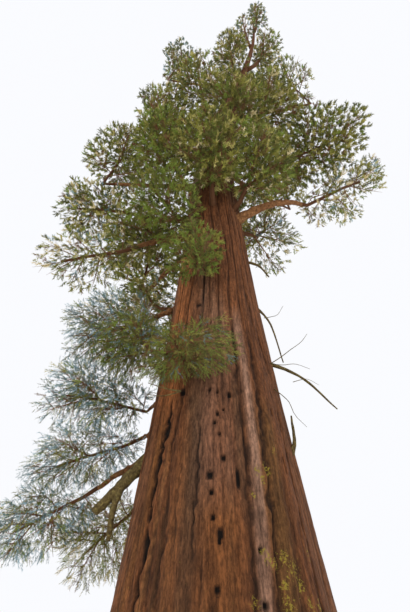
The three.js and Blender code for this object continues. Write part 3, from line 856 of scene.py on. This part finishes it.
# Lichen: point in the picture and spread
LICHENS = [
    (270.5, 557.6, 1), (284, 557.6, 1.1), (293, 569.7, 1.5), (276.5, 563.6, 1), (266, 551.5, 0.8),
    (258, 604.5, 1.2), (290, 606, 1.3), (319, 609, 1.3), (308, 603, 1), (267.4, 469.7, 1.2),
    (258, 469.7, 0.8), (263, 478.8, 0.9), (255, 494, 0.7), (307, 554.5, 0.9), (273.5, 451.5, 0.8),
    (286, 585, 1), (300, 585, 1.1),
]


def picture_ray(px, py):
    """Heading from the camera through a point of the picture."""
    focus = CAMERA_LENS / CAMERA_SENSOR * PICTURE[1]
    right = (px - PICTURE[0] / 2) / focus
    up = (PICTURE[1] / 2 - py) / focus
    pitch = CAMERA_PITCH * DEGREE
    ahead = vec(0, math.cos(pitch), math.sin(pitch))
    above = vec(0, -math.sin(pitch), math.cos(pitch))
    return unit(ahead + vec(1, 0, 0) * right + above * up)


def on_trunk(px, py):
    """Angle and height where a point of the picture meets the trunk."""
    eye = vec(*CAMERA_SPOT)
    ray = picture_ray(px, py)
    best = None
    for far in RAY_STEPS:
        p = eye + ray * far
        off = math.hypot(p[0] - float(sway_at(p[2])), p[1]) - float(trunk_radius(p[2]))
        if best is None or off < best[0]:
            best = (off, p)
        if off < 0:
            break
    p = best[1]
    return math.atan2(p[1], p[0] - float(sway_at(p[2]))), p[2]


def furrow(phase, width):
    """1 along the middle of each furrow and 0 between them."""
    gap = np.abs(phase - np.round(phase))
    return np.exp(-((gap / width) ** 2))


def broken(seed, cells, u, v, least):
    """Mask from 0 to 1 that lets furrows fade out and start again."""
    return limit((ripple(seed, 60, cells, u, v) - least) * 3)


def in_picture(px, py, y):
    """Point of space at a depth that lies on a point of the picture."""
    eye, ray = vec(*CAMERA_SPOT), picture_ray(px, py)
    return eye + ray * (y - eye[1]) / ray[1]


def place_lines(rows):
    """Heights and angles of each row's line on the trunk, with the row's other values."""
    placed = []
    for line, *rest in rows:
        spots = sorted((on_trunk(px, py) for px, py in line), key=lambda s: s[1])
        placed.append(([s[1] for s in spots], [s[0] for s in spots], *rest))
    return placed


FURROW_LINES = place_lines(FURROWS)
BAND_LINES = place_lines(BANDS)
HOLE_SPOTS = [(*on_trunk(px, py), wide, tall) for px, py, wide, tall in HOLES]
LICHEN_SPOTS = [(*on_trunk(px, py), wide) for px, py, wide in LICHENS]


def round_gap(angle, middle, radius):
    """Distance round the trunk from a middle angle, with its sign."""
    return ((angle - middle + math.pi) % math.tau - math.pi) * radius


def off_line(angle, z, radius, heights, angles, fade):
    """Distance round the trunk to a line, and a mask that fades at its ends."""
    gap = round_gap(angle, np.interp(z, heights, angles), radius)
    low = 1 if heights[0] < 1.2 else limit((z - heights[0] + fade) / fade)
    return gap, low * limit((heights[-1] + fade - z) / fade)


def bark_relief(angle, z, radius):
    """How far the bark stands off the trunk's round, and the painted shade in its furrows, 1 in a furrow.
    """
    u = angle / math.tau
    size = (trunk_radius(z) / 2.2) ** 0.7
    wander = ripple(11, 40, 9, u, z / 4.5) - 0.5
    jitter = ripple(12, 90, 31, u, z / 1.6) - 0.5
    bend = 1.3 * wander + 0.4 * jitter
    large = LARGE_FURROWS * u + bend
    middle = MIDDLE_FURROWS * u + 1.7 * bend + 0.9 * (ripple(13, 70, 27, u, z / 1.9) - 0.5)
    small = SMALL_FURROWS * u + 2.4 * bend + 1.2 * (ripple(14, 90, 60, u, z / 1.1) - 0.5)
    plate = limit((np.sin(-angle) - 0.2) * 2.2) * limit((8 - z) / 2.5)
    deep = furrow(large, 0.09) * broken(21, 13, u, z / 3.4, 0.12) * (1 - 0.92 * plate)
    cut = furrow(middle, 0.11) * broken(22, 31, u, z / 2.1, 0.22) * (1 - 0.5 * plate)
    slit = furrow(small, 0.14) * broken(23, 67, u, z / 0.9, 0.36) * (1 - 0.1 * plate)
    round_large = 1 - (2 * np.abs(large - np.floor(large) - 0.5)) ** 4
    fibres = ripple(24, 300, 256, u, z / 0.3) - 0.5
    strands = ripple(25, 160, 140, u, z / 0.9) - 0.5
    off = 0.022 * (round_large - 1) * (1 - plate) - 0.05 * deep - 0.026 * cut - 0.012 * slit
    off += 0.012 * fibres + 0.014 * strands
    off = (off + 0.02 * (ripple(26, 60, 34, u, z / 2.4) - 0.4)) * size
    high = limit((z - 7) / 3)
    # Painted shade in the furrows, weaker higher up
    recess_shade = (0.9 - 0.35 * high) * deep + (0.6 - 0.15 * high) * cut + 0.5 * slit
    ragged = 0.09 * (ripple(31, 300, 90, u, z / 0.13) - 0.5) + 0.03 * jitter
    for heights, angles, width, depth, shade in FURROW_LINES:
        gap, ends = off_line(angle, z, radius, heights, angles, 0.7)
        narrow = width * (0.3 + 1.4 * ripple(32, 200, 60, u, z / 0.33))
        line = np.exp(-(((gap + ragged) / narrow) ** 2)) * ends
        off -= depth * line
        recess_shade = np.maximum(recess_shade, shade * line)
    for spot, height, wide, tall in HOLE_SPOTS:
        gap = round_gap(angle, spot, radius)
        spread = (gap / (HOLE_WIDTH * wide)) ** 4 + ((z - height) / (HOLE_HEIGHT * tall)) ** 4
        pit = np.exp(-spread)
        off -= HOLE_DEPTH * pit
        # Painted shade in the pit
        recess_shade = np.maximum(recess_shade, 1.6 * pit)
    return off, np.clip(recess_shade - 0.3 * fibres - 0.2 * strands, 0, 2)


def bark_colour(angle, z, radius, recess_shade):
    """Base colour of the bark with painted shade and sunlight, and the lichen's share as its fourth value.
    """
    u = angle / math.tau
    patch = limit((ripple(41, 30, 17, u, z / 3.4) - 0.42) * 2.6)
    streak = limit((ripple(45, 90, 80, u, z / 1.8) - 0.3) * 2)
    colour = BARK_RED + (BARK_GREY - BARK_RED) * (patch * (0.35 + 0.65 * streak))[..., None]
    for heights, angles, width, tint, strength in BAND_LINES:
        gap, ends = off_line(angle, z, radius, heights, angles, 0.9)
        share = strength * np.exp(-((gap / width) ** 4)) * ends * (0.6 + 0.4 * streak)
        colour += (vec(*tint) - colour) * share[..., None]
    # Painted shade in the furrows, black in the deepest furrows and holes
    colour += (BARK_FURROW_SHADE - colour) * (limit(recess_shade) ** 1.2)[..., None]
    colour += (BARK_HOLE_SHADE - colour) * limit((recess_shade - 0.9) * 2)[..., None]
    tone = ripple(44, 80, 110, u, z / 1.3)
    fine = ripple(46, 300, 256, u, z / 0.2)
    colour *= (0.56 + 0.46 * tone + 0.42 * fine)[..., None]
    moss = np.zeros_like(z)
    for spot, height, wide in LICHEN_SPOTS:
        gap = round_gap(angle, spot, radius)
        spread = (gap / (LICHEN_WIDTH * wide)) ** 2 + ((z - height) / (LICHEN_HEIGHT * wide)) ** 2
        moss = np.maximum(moss, np.exp(-spread))
    return np.concatenate([colour, moss[..., None]], -1)


def trunk_mesh(name, columns, stages, tuck, material):
    """One part of the trunk's skin, with its first rows tucked in below the part under it."""
    rows = [stages[0][0]]
    for (low, _), (high, steps) in zip(stages, stages[1:]):
        rows += [low + (high - low) * (i + 1) / steps for i in range(steps)]
    angles = np.arange(columns) * math.tau / columns - math.pi
    angles = angles - FRONT_SHARE * np.cos(angles)
    z, a = np.meshgrid(np.array(rows), angles, indexing="ij")
    radius = trunk_radius(z) * flute(z, a)
    off, recess_shade = bark_relief(a, z, radius)
    colour = bark_colour(a, z, radius, recess_shade)
    off = off * np.clip((TRUNK_TOP - z) / 4, 0.05, 1)
    off[:3] = off[:3] - np.array([[tuck], [tuck], [tuck / 2]])
    grid = np.stack([sway_at(z) + (radius + off) * np.cos(a), (radius + off) * np.sin(a), z], -1)

    skin = Skin()
    ends = np.stack([axis_at(rows[0]), axis_at(rows[-1])])
    skin.add(np.concatenate([grid.reshape(-1, 3), ends]), ring_faces(len(rows), columns))
    piece = skin.build(name, [material], True)
    # Bark colours with painted shade and sunlight, and the lichen's share as alpha
    rgba = np.concatenate([colour.reshape(-1, 4), [[*BARK_RED, 0]] * 2]).astype(np.float32)
    layer = piece.data.color_attributes.new("bark_tone", "FLOAT_COLOR", "POINT")
    layer.data.foreach_set("color", rgba.ravel())
    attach(piece, "root")
    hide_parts("trunk")


bark = bark_material(
    "bark",
    [(0.3, (0.38, 0.35, 0.32)), (0.5, (1, 1, 1)), (0.71, (1.75, 1.7, 1.62))],
    (2.4, 2.4, 0.3), (0.7, 0.04), "bark_tone",
)
trunk_mesh("trunk_bark_lower", *LOWER_TRUNK, 0, bark)
trunk_mesh("trunk_bark_upper", *UPPER_TRUNK, 0.03, bark)


# Boughs and dead limbs

def bark_rings(number, rings, sides, depth):
    """Uneven skin for a limb, as a share of its radius."""
    u, v = np.meshgrid(np.arange(sides) / sides, np.arange(rings) / rings)
    coarse = ripple(500 + number, 12, 5, u, v * 12) - 0.5
    fine = ripple(600 + number, 40, 9, u, v * 40) - 0.5
    return 1 + depth * (coarse + 0.5 * fine)


BOUGH_RINGS = 22
BOUGH_SIDES = 12
DEAD_RINGS = 17
DEAD_SIDES = 10

bough_skin = Skin()
for mass in masses:
    if mass.bough:
        shares = np.linspace(0.02, 1, BOUGH_RINGS)
        line = np.array([bezier(*mass.bough_curve, t) for t in shares])
        line[1:-1] += 0.035 * (np.random.RandomState(700 + mass.number).rand(BOUGH_RINGS - 2, 3) - 0.5)
        taper = mass.tip_radius - mass.base
        radii = [mass.base + taper * t + 0.6 * mass.base * (1 - t) ** 6 for t in shares]
        uneven = bark_rings(mass.number, BOUGH_RINGS, BOUGH_SIDES, 0.3)
        tube(bough_skin, line, radii, BOUGH_SIDES, 0, uneven)
bough_bark = bark_material(
    "bough_bark",
    [(0.3, (0.05, 0.022, 0.01)), (0.5, (0.18, 0.08, 0.03)), (0.72, (0.34, 0.17, 0.075))],
    (1.2, 1.2, 1.2), (0.6, 0.03),
)
boughs = bough_skin.build("boughs_bark", [bough_bark], True)
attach(boughs, "root")
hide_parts(*["bough_" + m.name for m in masses if m.bough])

# Fine dead twigs seen in the picture: points in its pixels, depth and radius in metres
DEAD_TWIGS = [
    ([(270, 364), (281, 357), (290, 350), (301, 342), (307, 334)], -0.75, 0.014),
    ([(272, 364), (283, 365), (295, 364), (310, 369)], -0.8, 0.012),
    ([(293, 382), (300, 380), (307, 379), (319, 385)], -0.55, 0.01),
    ([(274, 389), (283, 396), (289, 402), (295, 415), (307, 427)], -0.7, 0.013),
    ([(264, 318), (270, 317), (277, 315), (283, 306)], -0.6, 0.012),
    ([(181, 391), (172, 390), (164, 388), (148, 383)], -1.85, 0.022),
    ([(181, 391), (172, 394), (161, 396), (146, 394)], -1.85, 0.018),
]

dead_skin = Skin()
for line, depth, radius in DEAD_TWIGS:
    points = [in_picture(px, py, depth) for px, py in line]
    smooth = [catmull(points, i / 10) for i in range(11)]
    tube(dead_skin, smooth, np.linspace(radius, 0.35 * radius, 11), 6)
for number, (name, steps, ends) in enumerate(DEAD_LIMBS):
    line = np.array(dead_points(steps, DEAD_RINGS - 1))
    line[2:-1] += 0.25 * ends[1] * (np.random.RandomState(800 + number).rand(DEAD_RINGS - 3, 3) - 0.5)
    uneven = bark_rings(40 + number, DEAD_RINGS, DEAD_SIDES, 0.45)
    tube(dead_skin, line, run_radii(DEAD_RINGS - 1, *ends, 0.2), DEAD_SIDES, 0, uneven)
dead_wood = bark_material(
    "dead_wood",
    [(0.3, (0.03, 0.02, 0.009)), (0.5, (0.1, 0.07, 0.025)), (0.75, (0.24, 0.19, 0.06))],
    (1.6, 1.6, 1.6), (0.6, 0.02),
)
dead = dead_skin.build("dead_limbs", [dead_wood], True)
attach(dead, "root")
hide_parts("dead_fork", "dead_stub", "dead_switch", "dead_arm", "dead_splinter")


# Foliage

def profile(share):
    """Girth of a leafy twig at a share of its length, where 1 is its widest."""
    return np.interp(share, [0, 0.22, 0.5, 0.76, 0.92, 1], [0.12, 0.62, 1, 0.9, 0.6, 0.35])


CLUMPS = np.random.RandomState(77).rand(24, 24, 24)
CLUMP_SIZE = vec(1, 1, 0.55)
CLUMP_RISING = vec(0.8, 0.8, 1.9)
CLUMP_NEAR = vec(0.7, 0.7, 0.4)


def clumps(points, cell):
    """Smooth noise from 0 to 1 through space."""
    place = points / cell
    low = np.floor(place).astype(int)
    part = ease(place - low)
    total = 0
    for corner in np.ndindex(2, 2, 2):
        i, j, k = ((low + corner) % 24).T
        total = total + CLUMPS[i, j, k] * np.abs(1 - np.array(corner) - part).prod(1)
    return total


def spots_in_mass(mass, spacing, ragged, random):
    """Places for tufts in a mass, how far out each one lies and how dense its clump is."""
    candidates = units(random.randn(TUFT_TRIES, 3)) * random.rand(TUFT_TRIES, 1) ** (1 / 3)
    points = mass.centre + (candidates * (mass.half - 0.5 * spacing)) @ mass.axes
    own, other = own_and_next(mass, points)
    low = mass.zone in DROOPING_ZONES
    cell = CLUMP_RISING if mass.zone in RISING_ZONES else CLUMP_NEAR if low else CLUMP_SIZE
    lump = 0.6 * clumps(points, cell) + 0.4 * clumps(points + 9, 0.5 * cell)
    keep = (own < 1) & (other > own + 0.5 * SPACE_MARGIN)
    if mass.upright:
        climb = limit(candidates[:, 0])
        keep &= np.linalg.norm(candidates[:, 1:], axis=1) < 1.02 * (1 - climb) ** 0.7
    keep &= (own < 1.1 - 2.6 * ragged * (0.62 - lump)) & (lump > 0.2 + 0.42 * ragged)
    return points[keep], own[keep], lump[keep]


def nearest_twigs(points, twigs, spacing):
    """The twig nearest to each point, the share along it, and how far off it the point is."""
    roots, alongs, lengths, girths = arrays((t.root, t.along, t.length, t.girth) for t in twigs)
    off = points[:, None, :] - roots[None]
    share = np.clip((off * alongs[None]).sum(2) / lengths, 0.02, 1)
    feet = roots[None] + alongs[None] * (share * lengths)[..., None]
    gap = np.linalg.norm(points[:, None, :] - feet, axis=2)
    room = gap / (profile(share) * girths * 1.05 + 0.15 * spacing)
    nearest = room.argmin(1)
    row = np.arange(len(points))
    return nearest, share[row, nearest], room[row, nearest]


def thin_out(points, keep, spacing):
    """Numbers of the kept points, without those that crowd one taken before."""
    chosen = []
    cells = {}
    for i in np.flatnonzero(keep):
        cell = tuple(np.floor(points[i] / spacing).astype(int))
        near = [j for dx in (-1, 0, 1) for dy in (-1, 0, 1) for dz in (-1, 0, 1)
                for j in cells.get((cell[0] + dx, cell[1] + dy, cell[2] + dz), ())]
        if all(np.linalg.norm(points[i] - points[j]) > spacing * 0.8 for j in near):
            cells.setdefault(cell, []).append(i)
            chosen.append(i)
    return chosen


def tuft_spots(mass, twigs, spacing, fill, ragged, random):
    """Middles of a mass's tufts, their depth in it, and the twig and share each grows from."""
    points, own, lump = spots_in_mass(mass, spacing, ragged, random)
    nearest, share, room = nearest_twigs(points, twigs, spacing)
    keep = (room < 1) | ((room < FILL_REACH) & (random.rand(len(points)) < fill) & (own < 0.78))
    chosen = thin_out(points, keep, spacing)
    depth = own[chosen] - 0.9 * (lump[chosen] - 0.5)
    return points[chosen], depth, nearest[chosen], share[chosen]


def tuft_headings(mass, points, starts, alongs, random):
    """Ways that tufts point: off their twigs, along them and out of the mass."""
    heading = units(0.6 * units(points - starts) + 0.4 * alongs + 0.35 * units(points - mass.centre))
    heading = heading + 0.35 * (random.rand(len(points), 3) - 0.5)
    if mass.zone in RISING_ZONES:
        heading[:, 2] += RISE
    if mass.zone in DROOPING_ZONES or mass.name == "drape":
        heading[:, 2] -= DROOP
    return units(heading)


def needle_sprays(middles, headings, shoots, shoot_length, per, size, slim, random):
    """Needles on the short shoots of each tuft, as three points each."""
    count = len(middles) * shoots
    middles, headings = np.repeat(middles, shoots, 0), np.repeat(headings, shoots, 0)
    shoot = units(headings + 1.1 * units(random.randn(count, 3)) * random.rand(count, 1))
    reach = shoot_length * (0.7 + 0.6 * random.rand(count))
    feet = middles - headings * (0.5 * shoot_length)
    many = count * per
    s = np.tile((np.arange(per) + 0.5) / per, count) + (random.rand(many) - 0.5) / per
    shoot, feet, reach = np.repeat(shoot, per, 0), np.repeat(feet, per, 0), np.repeat(reach, per)
    side = units(np.cross(shoot, units(random.randn(many, 3))))
    lean = 1.05 - 0.6 * s + 0.5 * (random.rand(many) - 0.5)
    way = units(np.cos(lean)[:, None] * shoot + np.sin(lean)[:, None] * side)
    base = feet + shoot * (s * reach)[:, None]
    long = size * (0.7 + 0.6 * random.rand(many))
    across = units(np.cross(way, units(random.randn(many, 3))))
    across = across * (slim * long * (0.11 + 0.05 * random.rand(many)))[:, None]
    return np.stack([base - across, base + across, base + way * long[:, None]], 1)


def shoot_tints(mass, depth, shoots, random):
    """A tint for each shoot of the tufts, with painted shade inside the mass."""
    mix = np.array(MIXES[MASS_MIX.get(mass.name, "inner" if mass.zone == "back" else "green")])
    mix = mix / mix.sum()
    many = len(depth) * shoots
    tints = np.repeat(random.choice(len(TINTS), size=len(depth), p=mix), shoots)
    other = random.choice(len(TINTS), size=many, p=mix)
    tints = np.where(random.rand(many) < STRAY_TINTS, other, tints)
    shade = (np.repeat(depth, shoots) < 0.4 + 0.25 * random.rand(many)) & (tints > SHADE_TINT)
    return np.where(shade & (random.rand(many) < SHADED_TINTS), SHADE_TINT, tints)


def twig_wood(twig, wood, random):
    """Bare wood inside a leafy twig."""
    bend = unit(random.rand(3) - 0.5) * 0.03 * twig.length
    line = [twig.root, twig.spot(0.45) + bend, twig.spot(0.9)]
    tube(wood, line, [0.012 * twig.length + 0.006, 0.008 * twig.length + 0.003, 0.003], 4)


def twig_cone(skin, a, b, radius):
    """A fine shoot as three narrow faces."""
    way = unit(b - a)
    side = unit(np.cross(way, vec(0.3, 0.5, 0.81)))
    lift = np.cross(way, side)
    ring = [a + radius * (math.cos(t) * side + math.sin(t) * lift) for t in (0, 2.094, 4.189)]
    skin.add(ring + [b], [(0, 1, 3), (1, 2, 3), (2, 0, 3)])


def dress_mass(mass, twigs, leaves, wood):
    """Stem, twigs and fine shoots of a mass, and its needles."""
    random = np.random.RandomState(3000 + mass.number)
    tube(wood, *mass.stem, 8, 1)
    for twig in twigs:
        twig_wood(twig, wood, random)
    spacing, shoots, shoot, per, size, slim, fill, ragged = TUFTS.get(mass.name, TUFTS[mass.zone])
    points, depth, nearest, share = tuft_spots(mass, twigs, spacing, fill, ragged, random)
    starts = np.array([twigs[n].spot(max(s - 0.12, 0.02) * 0.9) for n, s in zip(nearest, share)])
    alongs = np.array([twigs[n].along for n in nearest])
    for a, b, reach in zip(starts, points, np.linalg.norm(points - starts, axis=1)):
        twig_cone(wood, a, b, 0.004 + 0.004 * reach)
    headings = tuft_headings(mass, points, starts, alongs, random)
    needles = needle_sprays(points, headings, shoots, shoot, per, size, slim, random)
    tints = np.repeat(shoot_tints(mass, depth, shoots, random), per)
    past = PAST_BOX * (BOX_HIGH - BOX_LOW)
    inside = ((needles > BOX_LOW - past) & (needles < BOX_HIGH + past)).all((1, 2))
    needles = needles[inside]
    leaves.add(needles.reshape(-1, 3), np.arange(len(needles) * 3).reshape(-1, 3), tints[inside])


needle_materials = [plain_material(name, colour) for name, colour in NEEDLES.items()]
twig_material = plain_material("twig_wood", (0.19, 0.095, 0.045), 0.9)
stem_material = plain_material("stem_wood", (0.1, 0.042, 0.018), 0.9)
leaf_skins = {zone: Skin() for zone in ZONES}
twig_skins = {zone: Skin() for zone in ZONES}
for mass in masses:
    main = grow_mass(mass)
    dress_mass(mass, main + grow_finer(mass, main), leaf_skins[mass.zone], twig_skins[mass.zone])

for zone in ZONES:
    nodes = ["foliage_" + m.name for m in masses if m.zone == zone]
    leaves = leaf_skins[zone].build("leaves_" + zone, needle_materials, False)
    twigs = twig_skins[zone].build("twigs_" + zone, [twig_material, stem_material], True)
    for piece in (leaves, twigs):
        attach(piece, "root")
    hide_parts(*nodes)


# Floor, light and camera

FLOOR_REACH = 90
floor_mesh = bpy.data.meshes.new("floor")
corners = ((-1, -1), (1, -1), (1, 1), (-1, 1))
floor_mesh.from_pydata([(x * FLOOR_REACH, y * FLOOR_REACH, -0.002) for x, y in corners], [], [(0, 1, 2, 3)])
floor_mesh.materials.append(plain_material("floor_plain", (0.8, 0.8, 0.79), 0.9, 0.5))
floor = add_object("floor", floor_mesh)

world = bpy.data.worlds.new("studio")
bpy.context.scene.world = world
world.use_nodes = True
backdrop = world.node_tree.nodes["Background"]
backdrop.inputs["Color"].default_value = (0.96, 0.97, 1.0, 1)
backdrop.inputs["Strength"].default_value = 1.0


def sun(name, bearing, elevation, strength, colour, angle):
    light = bpy.data.lights.new(name, "SUN")
    light.energy = strength
    light.color = colour
    light.angle = angle * DEGREE
    lamp = add_object(name, light)
    lamp.rotation_euler = (math.pi / 2 - elevation * DEGREE, 0, bearing * DEGREE + math.pi / 2)


sun("key_light", 150, 52, 2.0, (1.0, 0.93, 0.8), 15)
sun("fill_light", 280, 30, 0.9, (1.0, 0.96, 0.92), 60)

scene = bpy.context.scene
scene.view_settings.view_transform = "Standard"
lens = bpy.data.cameras.new("camera")
lens.lens = CAMERA_LENS
lens.sensor_width = CAMERA_SENSOR
lens.clip_end = 400
camera = add_object("camera", lens)
camera.location = CAMERA_SPOT
camera.rotation_euler = ((90 + CAMERA_PITCH) * DEGREE, 0, 0)
scene.camera = camera
